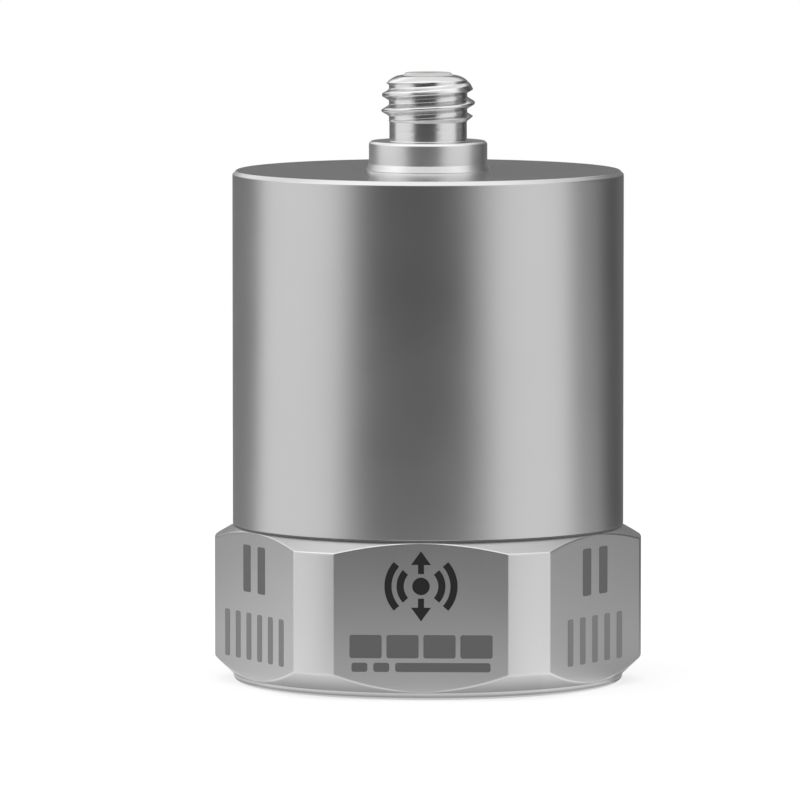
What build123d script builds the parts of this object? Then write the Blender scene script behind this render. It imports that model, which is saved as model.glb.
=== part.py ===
from build123d import *
from math import cos, radians, sin, tan
import os

# A vibration sensor: a hexagon base with a tapped hole, a round steel housing welded onto it,
# and a threaded coaxial connector on top. Inside, three piezo plates are sheared between a
# three-sided post and three heavy segments, and a small amplifier board stands on pillars.
# Millimetres, +Z up along the sensor's axis, origin at the centre of the mounting face,
# with one flat of the hexagon facing -Y.

# Clearances
fit = 0.02                  # left on each side where one turned piece sits in another
part_gap = 0.5              # between neighbours on the board

# Housing, turned flush with the flats of the base
body_height = 18.13         # from the weld seam to the flat top
body_edge = 0.2             # chamfer round the top
housing_wall = 0.8
housing_top = 1.5
housing_corner = 0.6        # bevel inside, between the wall and the top

# Hexagon base
across_flats = 20.0
corner_overhang = 0.915     # the corners are turned to a circle this far outside the flats
base_height = 8.0           # mounting face to the seat of the housing
foot_inset = 0.025          # the round foot is this far inside the flats
foot_height = 0.365
foot_edge = 0.2
lower_chamfer_angle = 45.0  # above the horizontal
upper_chamfer_angle = 30.0
shoulder_inset = 0.05       # the upper chamfer ends this far inside the housing's line
seam_width = 0.1
seam_depth = 0.2
spigot_height = 1.5
spigot_chamfer = 0.2

# Mounting hole, drilled for an M5 thread
mounting_hole_diameter = 4.2
mounting_hole_depth = 5.5
mounting_countersink_diameter = 5.3
drill_point_angle = 118.0

# Sensing element
element_count = 3
element_start_angle = -90.0  # the first plate faces the front flat
post_face_distance = 1.6     # from the axis to each face of the post
post_diameter = 6.0
post_headroom = 2.5          # from the top of the post to the board
element_floor_gap = 0.5      # the masses hang this far above the base
mass_width = 6.2
mass_post_gap = 0.5          # the post stands this far above the masses
mass_edge = 0.15             # chamfer along the outer edges
piezo_width = 4.6
piezo_thickness = 0.5
piezo_end_gap = 0.5          # a plate is this much shorter than a mass at each end
ring_thickness = 0.6
ring_end_gap = 0.6
ring_clearance = 0.3         # from the ring to the pillars

# Board, pillars and screws
board_thickness = 1.0
board_edge_gap = 0.2         # between the board and the housing
board_headroom = 5.63        # from the board to the ceiling of the housing
standoff_count = 3
standoff_across_flats = 1.6
standoff_edge_margin = 0.3   # of board outside each pillar
standoff_stud_length = 1.0
screw_diameter = 1.0
screw_length = 2.5
screw_head_diameter = 1.8
screw_head_height = 0.6
screw_slot_width = 0.25
screw_slot_depth = 0.3
screw_hole_spare = 0.5       # the tapped hole goes on below the screw's end
board_hole_clearance = 0.1

# Parts on the board
chip_length = 4.0
chip_width = 3.0
chip_height = 1.1
chip_standoff = 0.15
chip_lead_pitch = 1.0
chip_lead_count = 4
chip_lead_width = 0.4
chip_lead_thickness = 0.15
chip_lead_reach = 0.8
chip_lead_foot = 0.4
capacitor_length = 2.0
capacitor_width = 1.25
capacitor_height = 0.9
capacitor_spacing = 4.2
capacitor_count = 2
resistor_length = 1.6
resistor_width = 0.8
resistor_height = 0.45
resistor_spacing = 2.2
resistor_count = 3
terminal_length = 0.35       # plated end of a resistor or capacitor
terminal_step = 0.03         # the plating stands this far proud of the middle

# Connector shell
collar_diameter = 6.05
collar_height = 1.5
collar_edge = 0.08
weld_size = 0.18
stem_diameter = 5.0
stem_below = 0.6             # the stem ends this far below the ceiling
neck_diameter = 4.0
neck_height = 1.05
thread_diameter = 4.86
thread_start_chamfer = 0.25
thread_length = 2.37         # neck to tip, with the domed end
nose_round = 1.1
connector_bore_diameter = 2.64

# Connector insides
seal_height = 1.5
insulator_proud = 0.07
insulator_edge = 0.06
contact_diameter = 1.0
contact_shank_diameter = 0.8
contact_recess = 0.5
contact_play = 0.05          # room for the fingers of the contact to spread
socket_diameter = 0.54
socket_depth = 3.0
socket_lead_in = 0.1
socket_slot_width = 0.15
socket_slot_depth = 2.2
tail_length = 0.9            # of the contact below the seal
solder_cup_depth = 0.5
solder_cup_clearance = 0.04

# Leads
wire_diameter = 0.3
wire_bend = 0.5
wire_hole_clearance = 0.05
wire_stub = 0.45             # of the signal lead above the board
solder_spread = 0.12         # a solder joint is this much wider than the wire on each side
solder_height = 0.3
signal_lead_angle = 200.0    # between two masses, beside a pillar
output_pad_gap = 0.4         # from the chip's leads to the solder of the output lead
output_lead_drop = 0.7       # straight below the contact before it turns aside

# Heights worked out from the sizes above
shoulder_z = base_height - seam_width
spigot_top = base_height + spigot_height
body_top = base_height + body_height
ceiling = body_top - housing_top
board_top = ceiling - board_headroom
board_bottom = board_top - board_thickness
post_top = board_bottom - post_headroom
mass_bottom = spigot_top + element_floor_gap
mass_height = post_top - mass_post_gap - mass_bottom

# Radii worked out from the sizes above
body_radius = across_flats / 2
bore_radius = body_radius - housing_wall
corner_radius = body_radius + corner_overhang
foot_radius = body_radius - foot_inset
shoulder_radius = body_radius - shoulder_inset
board_radius = bore_radius - board_edge_gap
standoff_circle = board_radius - standoff_edge_margin - standoff_across_flats / 2
ring_outer_radius = standoff_circle - standoff_across_flats / 2 - ring_clearance
ring_inner_radius = ring_outer_radius - ring_thickness
mass_radius = ring_inner_radius - fit
mass_face_distance = post_face_distance + piezo_thickness
standoff_start_angle = element_start_angle + 180 / element_count
screw_radius = screw_diameter / 2
wire_radius = wire_diameter / 2

os.makedirs("parts", exist_ok=True)


def upright_plane(radius, angle, height):
    """A horizontal plane at a radius, an angle and a height, with its x axis pointing outwards."""
    outwards = Vector(cos(radians(angle)), sin(radians(angle)), 0)
    return Plane(outwards * radius + Vector(0, 0, height), x_dir=outwards, z_dir=(0, 0, 1))


# Base: a hexagon bar trimmed by a turned outline, so each flat ends in two arcs
lower_chamfer_rise = (corner_radius - foot_radius) * tan(radians(lower_chamfer_angle))
upper_chamfer_rise = (corner_radius - shoulder_radius) * tan(radians(upper_chamfer_angle))
mounting_hole_radius = mounting_hole_diameter / 2
countersink_radius = mounting_countersink_diameter / 2
countersink_depth = countersink_radius - mounting_hole_radius
drill_point_height = mounting_hole_radius / tan(radians(drill_point_angle / 2))

with BuildPart() as base:
    with BuildSketch():
        RegularPolygon(body_radius, 6, major_radius=False)
    extrude(amount=shoulder_z)
    with BuildSketch(Plane.XZ):
        with BuildLine():
            Polyline(
                (0, 0),
                (foot_radius - foot_edge, 0),
                (foot_radius, foot_edge),
                (foot_radius, foot_height),
                (corner_radius, foot_height + lower_chamfer_rise),
                (corner_radius, shoulder_z - upper_chamfer_rise),
                (shoulder_radius, shoulder_z),
                (0, shoulder_z),
                close=True,
            )
        make_face()
    revolve(axis=Axis.Z, mode=Mode.INTERSECT)
    with BuildSketch(Plane.XY.offset(shoulder_z)):
        Circle(body_radius - seam_depth)
    extrude(amount=seam_width)
    with BuildSketch(Plane.XY.offset(base_height)):
        Circle(bore_radius - fit)
    extrude(amount=spigot_height)
    chamfer(base.edges().group_by(Axis.Z)[-1], spigot_chamfer)
    with BuildSketch(Plane.XY.offset(spigot_top)):
        Circle(post_diameter / 2)
        RegularPolygon(
            post_face_distance,
            element_count,
            major_radius=False,
            rotation=element_start_angle + 180 / element_count,
            mode=Mode.INTERSECT,
        )
    extrude(amount=post_top - spigot_top)
    with BuildSketch(Plane.XZ):
        with BuildLine():
            Polyline(
                (0, 0),
                (countersink_radius, 0),
                (mounting_hole_radius, countersink_depth),
                (mounting_hole_radius, mounting_hole_depth),
                (0, mounting_hole_depth + drill_point_height),
                close=True,
            )
        make_face()
    revolve(axis=Axis.Z, mode=Mode.SUBTRACT)
    with BuildSketch(Plane.XY.offset(spigot_top)):
        with PolarLocations(standoff_circle, standoff_count, start_angle=standoff_start_angle):
            Circle(screw_radius + fit)
    extrude(amount=-standoff_stud_length - fit, mode=Mode.SUBTRACT)
base.part.label = "base"
export_step(base.part, "parts/base.step")

# Housing: a cup turned upside down over the spigot, seated on the base outside it
with BuildPart() as housing:
    with BuildSketch(Plane.XY.offset(base_height)):
        Circle(body_radius)
    extrude(amount=body_height)
    chamfer(housing.edges().group_by(Axis.Z)[-1], body_edge)
    with BuildSketch(Plane.XY.offset(base_height)):
        Circle(bore_radius)
    extrude(amount=ceiling - base_height, mode=Mode.SUBTRACT)
    chamfer(housing.faces(Select.LAST).sort_by(Axis.Z)[-1].outer_wire().edges(), housing_corner)
    with BuildSketch(Plane.XY.offset(ceiling)):
        Circle(stem_diameter / 2 + fit)
    extrude(amount=housing_top, mode=Mode.SUBTRACT)
housing.part.label = "housing"
export_step(housing.part, "parts/housing.step")

# Connector shell: stem, welded collar, neck, and the thread's outer cylinder with its domed end
stem_radius = stem_diameter / 2
collar_radius = collar_diameter / 2
neck_radius = neck_diameter / 2
thread_radius = thread_diameter / 2
connector_bore_radius = connector_bore_diameter / 2
stem_bottom = ceiling - stem_below
collar_top = body_top + collar_height
neck_top = collar_top + neck_height
connector_top = neck_top + thread_length

with BuildPart() as connector_shell:
    with BuildSketch(Plane.XZ):
        with BuildLine():
            Polyline(
                (thread_radius - nose_round, connector_top),
                (connector_bore_radius, connector_top),
                (connector_bore_radius, stem_bottom),
                (stem_radius, stem_bottom),
                (stem_radius, body_top),
                (collar_radius + weld_size, body_top),
                (collar_radius, body_top + weld_size),
                (collar_radius, collar_top - collar_edge),
                (collar_radius - collar_edge, collar_top),
                (neck_radius, collar_top),
                (neck_radius, neck_top),
                (thread_radius - thread_start_chamfer, neck_top),
                (thread_radius, neck_top + thread_start_chamfer),
                (thread_radius, connector_top - nose_round),
            )
            RadiusArc(
                (thread_radius, connector_top - nose_round),
                (thread_radius - nose_round, connector_top),
                -nose_round,
            )
        make_face()
    revolve(axis=Axis.Z)
connector_shell.part.label = "connector_shell"
export_step(connector_shell.part, "parts/connector_shell.step")

# Glass bead, fused between the shell and the shank of the contact
seal_top = stem_bottom + seal_height
shank_radius = contact_shank_diameter / 2

with BuildPart() as glass_seal:
    with BuildSketch(Plane.XY.offset(stem_bottom)):
        Circle(connector_bore_radius - fit)
        Circle(shank_radius + fit, mode=Mode.SUBTRACT)
    extrude(amount=seal_height)
glass_seal.part.label = "glass_seal"
export_step(glass_seal.part, "parts/glass_seal.step")

# Insulating sleeve, seated on the glass and standing a little proud of the connector's tip
contact_radius = contact_diameter / 2
insulator_top = connector_top + insulator_proud

with BuildPart() as connector_dielectric:
    with BuildSketch(Plane.XY.offset(seal_top)):
        Circle(connector_bore_radius - fit)
        Circle(contact_radius + contact_play, mode=Mode.SUBTRACT)
    extrude(amount=insulator_top - seal_top)
    insulator_rim = connector_dielectric.edges().group_by(Axis.Z)[-1].sort_by(SortBy.RADIUS)[-1]
    chamfer(insulator_rim, insulator_edge)
connector_dielectric.part.label = "connector_dielectric"
export_step(connector_dielectric.part, "parts/connector_dielectric.step")

# Contact: a split socket above, a shank through the glass, a solder cup below
socket_radius = socket_diameter / 2
contact_top = insulator_top - contact_recess
tail_bottom = stem_bottom - tail_length
solder_cup_radius = wire_radius + solder_cup_clearance
solder_cup_top = tail_bottom + solder_cup_depth

with BuildPart() as centre_contact:
    with BuildSketch(Plane.XZ):
        with BuildLine():
            Polyline(
                (solder_cup_radius, tail_bottom),
                (shank_radius, tail_bottom),
                (shank_radius, seal_top),
                (contact_radius, seal_top),
                (contact_radius, contact_top),
                (socket_radius + socket_lead_in, contact_top),
                (socket_radius, contact_top - socket_lead_in),
                (socket_radius, contact_top - socket_depth),
                (0, contact_top - socket_depth),
                (0, solder_cup_top),
                (solder_cup_radius, solder_cup_top),
                close=True,
            )
        make_face()
    revolve(axis=Axis.Z)
    with BuildSketch(Plane.XY.offset(contact_top)):
        Rectangle(contact_diameter + fit, socket_slot_width)
    extrude(amount=-socket_slot_depth, mode=Mode.SUBTRACT)
centre_contact.part.label = "centre_contact"
export_step(centre_contact.part, "parts/centre_contact.step")

# Sensing element: a plate and a mass on each face of the post, clamped by one ring
piezo_bottom = mass_bottom + piezo_end_gap
piezo_height = mass_height - 2 * piezo_end_gap
ring_bottom = mass_bottom + ring_end_gap
ring_top = mass_bottom + mass_height - ring_end_gap

for index in range(element_count):
    angle = element_start_angle + index * 360 / element_count

    with BuildPart() as piezo_plate:
        with BuildSketch(upright_plane(post_face_distance, angle, piezo_bottom)):
            Rectangle(piezo_thickness, piezo_width, align=(Align.MIN, Align.CENTER))
        extrude(amount=piezo_height)
    piezo_plate.part.label = f"piezo_plate_{index + 1}"
    export_step(piezo_plate.part, f"parts/piezo_plate_{index + 1}.step")

    with BuildPart() as seismic_mass:
        with BuildSketch(upright_plane(0, angle, mass_bottom)):
            Circle(mass_radius)
            with Locations((mass_face_distance, 0)):
                Rectangle(
                    mass_radius,
                    mass_width,
                    align=(Align.MIN, Align.CENTER),
                    mode=Mode.INTERSECT,
                )
        extrude(amount=mass_height)
        chamfer(seismic_mass.edges().filter_by(GeomType.CIRCLE), mass_edge)
    seismic_mass.part.label = f"seismic_mass_{index + 1}"
    export_step(seismic_mass.part, f"parts/seismic_mass_{index + 1}.step")

with BuildPart() as preload_ring:
    with BuildSketch(Plane.XY.offset(ring_bottom)):
        Circle(ring_outer_radius)
        Circle(ring_inner_radius, mode=Mode.SUBTRACT)
    extrude(amount=ring_top - ring_bottom)
preload_ring.part.label = "preload_ring"
export_step(preload_ring.part, "parts/preload_ring.step")

# Board: a disc with three screw holes and a hole for the lead that comes up from the ring
ring_middle_radius = (ring_outer_radius + ring_inner_radius) / 2

with BuildPart() as circuit_board:
    with BuildSketch(Plane.XY.offset(board_bottom)):
        Circle(board_radius)
        with PolarLocations(standoff_circle, standoff_count, start_angle=standoff_start_angle):
            Circle(screw_radius + board_hole_clearance, mode=Mode.SUBTRACT)
        with PolarLocations(ring_middle_radius, 1, start_angle=signal_lead_angle):
            Circle(wire_radius + wire_hole_clearance, mode=Mode.SUBTRACT)
    extrude(amount=board_thickness)
circuit_board.part.label = "circuit_board"
export_step(circuit_board.part, "parts/circuit_board.step")

# Hexagonal pillars with a stud below and a tapped hole above, and their screws
pillar_hole_depth = screw_length - board_thickness + screw_hole_spare

for index in range(standoff_count):
    angle = standoff_start_angle + index * 360 / standoff_count

    with BuildPart() as standoff:
        with BuildSketch(upright_plane(standoff_circle, angle, spigot_top)):
            RegularPolygon(standoff_across_flats / 2, 6, major_radius=False, rotation=30)
        extrude(amount=board_bottom - spigot_top)
        with BuildSketch(upright_plane(standoff_circle, angle, spigot_top)):
            Circle(screw_radius)
        extrude(amount=-standoff_stud_length)
        with BuildSketch(upright_plane(standoff_circle, angle, board_bottom)):
            Circle(screw_radius + fit)
        extrude(amount=-pillar_hole_depth, mode=Mode.SUBTRACT)
    standoff.part.label = f"standoff_{index + 1}"
    export_step(standoff.part, f"parts/standoff_{index + 1}.step")

    with BuildPart() as board_screw:
        with BuildSketch(upright_plane(standoff_circle, angle, board_top)):
            Circle(screw_head_diameter / 2)
        extrude(amount=screw_head_height)
        with BuildSketch(upright_plane(standoff_circle, angle, board_top + screw_head_height)):
            Rectangle(screw_head_diameter + fit, screw_slot_width)
        extrude(amount=-screw_slot_depth, mode=Mode.SUBTRACT)
        with BuildSketch(upright_plane(standoff_circle, angle, board_top)):
            Circle(screw_radius)
        extrude(amount=-screw_length)
    board_screw.part.label = f"board_screw_{index + 1}"
    export_step(board_screw.part, f"parts/board_screw_{index + 1}.step")

# Rows of parts on the board, counted from the pillar at the back towards the front
chip_reach = chip_width / 2 + chip_lead_reach
resistor_row_y = standoff_circle - screw_head_diameter / 2 - part_gap - resistor_width / 2
capacitor_row_y = resistor_row_y - resistor_width / 2 - part_gap - capacitor_width / 2
chip_y = capacitor_row_y - capacitor_width / 2 - part_gap - chip_reach


def plated_block(place, length, width, height):
    """A ceramic block on the board, with a plated cap round each end a hair proud of its middle."""
    with BuildPart(place) as block:
        with Locations((0, 0, height / 2)):
            Box(length, width - 2 * terminal_step, height - 2 * terminal_step)
            with GridLocations(length - terminal_length, 0, 2, 1):
                Box(terminal_length, width, height)
    return block.part


for index in range(capacitor_count):
    capacitor_x = (index - (capacitor_count - 1) / 2) * capacitor_spacing
    capacitor_plane = Plane((capacitor_x, capacitor_row_y, board_top))
    capacitor = plated_block(capacitor_plane, capacitor_length, capacitor_width, capacitor_height)
    capacitor.label = f"capacitor_{index + 1}"
    export_step(capacitor, f"parts/capacitor_{index + 1}.step")

for index in range(resistor_count):
    resistor_x = (index - (resistor_count - 1) / 2) * resistor_spacing
    resistor_plane = Plane((resistor_x, resistor_row_y, board_top))
    resistor = plated_block(resistor_plane, resistor_length, resistor_width, resistor_height)
    resistor.label = f"resistor_{index + 1}"
    export_step(resistor, f"parts/resistor_{index + 1}.step")

# Amplifier chip: a moulded block on gull-wing leads, made on one side and mirrored to the other
chip_body_bottom = board_top + chip_standoff
chip_middle_z = chip_body_bottom + chip_height / 2
lead_root_y = chip_y + chip_width / 2 - chip_lead_thickness
lead_toe_y = chip_y + chip_reach
lead_heel_y = lead_toe_y - chip_lead_foot
lead_upper_z = chip_middle_z + chip_lead_thickness / 2
lead_lower_z = chip_middle_z - chip_lead_thickness / 2

with BuildPart() as amplifier_chip:
    for lead in range(chip_lead_count):
        lead_x = (lead - (chip_lead_count - 1) / 2) * chip_lead_pitch
        with BuildSketch(Plane.YZ.offset(lead_x)):
            with BuildLine():
                Polyline(
                    (lead_root_y, lead_upper_z),
                    (lead_heel_y, lead_upper_z),
                    (lead_heel_y, board_top + chip_lead_thickness),
                    (lead_toe_y, board_top + chip_lead_thickness),
                    (lead_toe_y, board_top),
                    (lead_heel_y - chip_lead_thickness, board_top),
                    (lead_heel_y - chip_lead_thickness, lead_lower_z),
                    (lead_root_y, lead_lower_z),
                    close=True,
                )
            make_face()
        extrude(amount=chip_lead_width / 2, both=True)
    mirror(about=Plane((0, chip_y, 0), x_dir=(1, 0, 0), z_dir=(0, 1, 0)))
    with BuildSketch(Plane((0, chip_y, chip_body_bottom))):
        Rectangle(chip_length, chip_width)
    extrude(amount=chip_height)
amplifier_chip.part.label = "amplifier_chip"
export_step(amplifier_chip.part, "parts/amplifier_chip.step")

# Signal lead: stands on the ring and is soldered there and on top of the board
solder_radius = wire_radius + solder_spread

with BuildPart() as signal_lead:
    with BuildSketch(upright_plane(ring_middle_radius, signal_lead_angle, ring_top)):
        Circle(wire_radius)
    extrude(amount=board_top + wire_stub - ring_top)
    for solder_z in (ring_top, board_top):
        with BuildSketch(upright_plane(ring_middle_radius, signal_lead_angle, solder_z)):
            Circle(solder_radius)
        extrude(amount=solder_height)
signal_lead.part.label = "signal_lead"
export_step(signal_lead.part, "parts/signal_lead.step")

# Output lead: from the solder cup of the contact down to a pad in front of the chip
output_pad_y = chip_y - chip_reach - output_pad_gap - solder_radius

with BuildPart() as output_lead:
    with BuildLine(Plane.YZ):
        output_path = FilletPolyline(
            (0, solder_cup_top - fit),
            (0, tail_bottom - output_lead_drop),
            (output_pad_y, board_top + wire_radius),
            radius=wire_bend,
        )
    with BuildSketch(Plane(output_path @ 0, z_dir=output_path % 0)):
        Circle(wire_radius)
    sweep(path=output_path)
    with BuildSketch(Plane((0, output_pad_y, board_top))):
        Circle(solder_radius)
    extrude(amount=solder_height)
output_lead.part.label = "output_lead"
export_step(output_lead.part, "parts/output_lead.step")
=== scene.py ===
import math

import bpy
import numpy as np
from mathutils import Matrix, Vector


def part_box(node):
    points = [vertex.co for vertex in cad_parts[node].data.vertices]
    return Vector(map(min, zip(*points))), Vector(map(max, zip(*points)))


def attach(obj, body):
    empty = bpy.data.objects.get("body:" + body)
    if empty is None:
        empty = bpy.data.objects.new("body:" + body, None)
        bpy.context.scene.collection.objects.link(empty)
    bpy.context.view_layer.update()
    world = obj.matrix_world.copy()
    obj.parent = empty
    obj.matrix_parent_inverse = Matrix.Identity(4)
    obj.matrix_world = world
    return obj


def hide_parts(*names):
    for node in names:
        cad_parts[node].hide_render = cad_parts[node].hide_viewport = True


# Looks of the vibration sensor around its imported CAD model. Sizes are in millimetres and are
# turned to metres where a mesh, a lamp or the camera is made. Angles are in degrees.

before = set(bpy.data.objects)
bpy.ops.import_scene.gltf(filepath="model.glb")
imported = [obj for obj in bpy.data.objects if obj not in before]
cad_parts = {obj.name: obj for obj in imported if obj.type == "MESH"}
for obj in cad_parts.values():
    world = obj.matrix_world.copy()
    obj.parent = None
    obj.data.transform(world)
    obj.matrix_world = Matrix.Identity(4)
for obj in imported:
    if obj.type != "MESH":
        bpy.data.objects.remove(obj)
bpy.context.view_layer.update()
mm = 0.001  # of a metre


def boxHeights(node):
    # lowest and highest z of a CAD node, in millimetres
    low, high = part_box(node)
    return low.z / mm, high.z / mm


seatZ, bodyTop = boxHeights("housing")
stemBottom, connectorTop = boxHeights("connector_shell")
insulatorBottom, insulatorTop = boxHeights("connector_dielectric")
postTop = boxHeights("base")[1]


# Camera: placed so that the outline falls where it does in the photograph

camera = {
    "azimuth": 2.18,  # towards the object's +X
    "elevation": 4.77,
    "distance": 501.0,
    "lens": 440.4,  # on a sensor 36 wide
    "aimAcross": -1.436,  # of the aim from the axis, towards the image's right
    "aimHeight": 14.335,
    "nearest": 50.0,  # nothing nearer than this is drawn
}


def outwards(angle):
    # level unit direction at an angle from the camera's side, counted towards the image's right
    turn = math.radians(angle + camera["azimuth"])
    return Vector((math.sin(turn), -math.cos(turn), 0))


def makeCamera():
    rise = math.radians(camera["elevation"])
    backwards = outwards(0) * math.cos(rise) + Vector((0, 0, math.sin(rise)))
    aim = outwards(90) * camera["aimAcross"] + Vector((0, 0, camera["aimHeight"]))
    data = bpy.data.cameras.new("camera")
    data.lens = camera["lens"]
    data.clip_start = camera["nearest"] * mm
    made = bpy.data.objects.new("camera", data)
    made.location = (aim + backwards * camera["distance"]) * mm
    made.rotation_mode = "QUATERNION"
    made.rotation_quaternion = (-backwards).to_track_quat("-Z", "Y")
    bpy.context.scene.collection.objects.link(made)
    bpy.context.scene.camera = made


makeCamera()
print("camera:", camera["distance"], "mm from its aim, lens", camera["lens"], "mm")


# Shared helpers: colours, nodes and meshes

def linear(colour):
    # an sRGB hex value as the linear colour that a shader socket takes
    parts = np.array([int(colour[i:i + 2], 16) for i in (1, 3, 5)]) / 255
    return (*np.where(parts <= 0.04045, parts / 12.92, ((parts + 0.055) / 1.055) ** 2.4), 1.0)


def grey(value):
    # an even linear grey for a shader socket
    return (value, value, value, 1.0)


def addNode(tree, kind, inputs=None, **settings):
    # adds one node; each input is given a value, or a link where the value is another node's socket
    node = tree.nodes.new(kind)
    for name, value in settings.items():
        setattr(node, name, value)
    for key, value in (inputs or {}).items():
        if isinstance(value, bpy.types.NodeSocket):
            tree.links.new(value, node.inputs[key])
        else:
            node.inputs[key].default_value = value
    return node


def newMaterial(name):
    material = bpy.data.materials.new(name)
    material.use_nodes = True
    material.node_tree.nodes.clear()
    return material, material.node_tree


def smaller(a, b, ease):
    # the smaller of two values, with the edge between them rounded: min(a, b), and where the two
    # differ by less than the ease, less (ease - difference) squared over four times the ease
    overlap = np.maximum(ease - np.abs(a - b), 0)
    return np.minimum(a, b) - overlap ** 2 / (4 * ease)


def larger(a, b, ease):
    return -smaller(-a, -b, ease)


rounding = {
    "arcRows": 5,
    "arcShare": 0.44,  # an arc takes at most this share of a side at each end
    "support": 0.02,  # from the end of an arc to the row that keeps its side flat
    "supportShare": 0.05,  # and at most this share of the side
}


def roundedProfile(corners, columns, closed):
    # corners: (radius, height, edge radius), where radius and height may differ from column to column.
    # Each corner becomes a quadratic arc, tangent to both its sides at edge radius x tan(half the turn)
    # from the corner, with one row just past each end of the arc to keep the sides flat.
    # Gives rows x columns x (radius, height).
    points = np.stack([np.stack(np.broadcast_arrays(r, z, np.zeros(columns)), axis=-1)[:, :2]
                       for r, z, edge in corners])
    edges = np.array([edge for r, z, edge in corners])[:, None, None]
    before = np.roll(points, 1, axis=0) - points
    after = np.roll(points, -1, axis=0) - points
    beforeLength = np.maximum(np.linalg.norm(before, axis=-1, keepdims=True), 1e-9)
    afterLength = np.maximum(np.linalg.norm(after, axis=-1, keepdims=True), 1e-9)
    before, after = before / beforeLength, after / afterLength
    cosine = np.clip((before * after).sum(axis=-1, keepdims=True), -1, 1)
    halfTurn = (math.pi - np.arccos(cosine)) / 2
    shorter = np.minimum(beforeLength, afterLength)
    reach = np.minimum(edges * np.tan(halfTurn), rounding["arcShare"] * shorter)
    start, end = points + before * reach, points + after * reach
    s = np.linspace(0, 1, rounding["arcRows"])[:, None, None, None]
    arcs = (1 - s) ** 2 * start + 2 * s * (1 - s) * points + s ** 2 * end
    support, share = rounding["support"], rounding["supportShare"]
    ahead = points + before * (reach + np.minimum(support, share * beforeLength))
    behind = points + after * (reach + np.minimum(support, share * afterLength))
    rows = np.concatenate([ahead[None], arcs, behind[None]]).transpose(1, 0, 2, 3)
    if closed:
        return rows.reshape(-1, columns, 2)
    middle = rows[1:-1].reshape(-1, columns, 2)
    return np.concatenate([points[:1], middle, points[-1:]])


def aroundAxis(rows, angles):
    # rows x columns x (radius, height) as points, each column at its own angle round the axis:
    # x and y are the radius times the angle's cosine and sine, and z is the height
    turn = np.radians(angles)
    radius, height = rows[..., 0], rows[..., 1]
    return np.stack([radius * np.cos(turn), radius * np.sin(turn), height], axis=-1)


def evenAngles(columns):
    return np.linspace(0, 360, columns, endpoint=False)


def makePiece(name, rings, material, closedRows=False, firstPole=None, lastPole=None):
    # A mesh of four-sided faces between rings of points, each ring closed on itself.
    # The rows close too, or end at a pole, or stay open. Rings are in millimetres.
    rows, columns = rings.shape[:2]
    points = rings.reshape(-1, 3)
    index = np.arange(rows * columns).reshape(rows, columns)
    beside = np.roll(index, -1, axis=1)
    above, aboveBeside = np.roll(index, -1, axis=0), np.roll(beside, -1, axis=0)
    quads = np.stack([index, beside, aboveBeside, above], axis=-1)
    quads = (quads if closedRows else quads[:-1]).reshape(-1, 4)
    fans = []
    for pole, ring, ringBeside in ((firstPole, beside[0], index[0]), (lastPole, index[-1], beside[-1])):
        if pole is not None:
            tip = np.full(columns, len(points))
            points = np.concatenate([points, [pole]])
            fans.append(np.stack([ring, ringBeside, tip], axis=-1))
    fans = np.concatenate(fans) if fans else np.zeros((0, 3), int)
    counts = np.concatenate([np.full(len(quads), 4), np.full(len(fans), 3)])
    corners = np.concatenate([quads.ravel(), fans.ravel()])
    mesh = bpy.data.meshes.new(name)
    mesh.vertices.add(len(points))
    mesh.vertices.foreach_set("co", (points * mm).astype(np.float32).ravel())
    mesh.loops.add(len(corners))
    mesh.loops.foreach_set("vertex_index", corners.astype(np.int32))
    mesh.polygons.add(len(counts))
    mesh.polygons.foreach_set("loop_start", (np.cumsum(counts) - counts).astype(np.int32))
    mesh.polygons.foreach_set("use_smooth", np.ones(len(counts), bool))
    mesh.update(calc_edges=True)
    mesh.materials.append(material)
    piece = bpy.data.objects.new(name, mesh)
    bpy.context.scene.collection.objects.link(piece)
    print("mesh:  ", name, int((counts - 2).sum()), "triangles")
    return piece


# Stage: a white floor in a white room, with soft lamps. Only metal and glass see the cards: mats that
# lie on the floor and dim screens that stand round the object. Between the screens the metal mirrors
# the white room, as two tall bright fields left and right of the camera.

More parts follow.
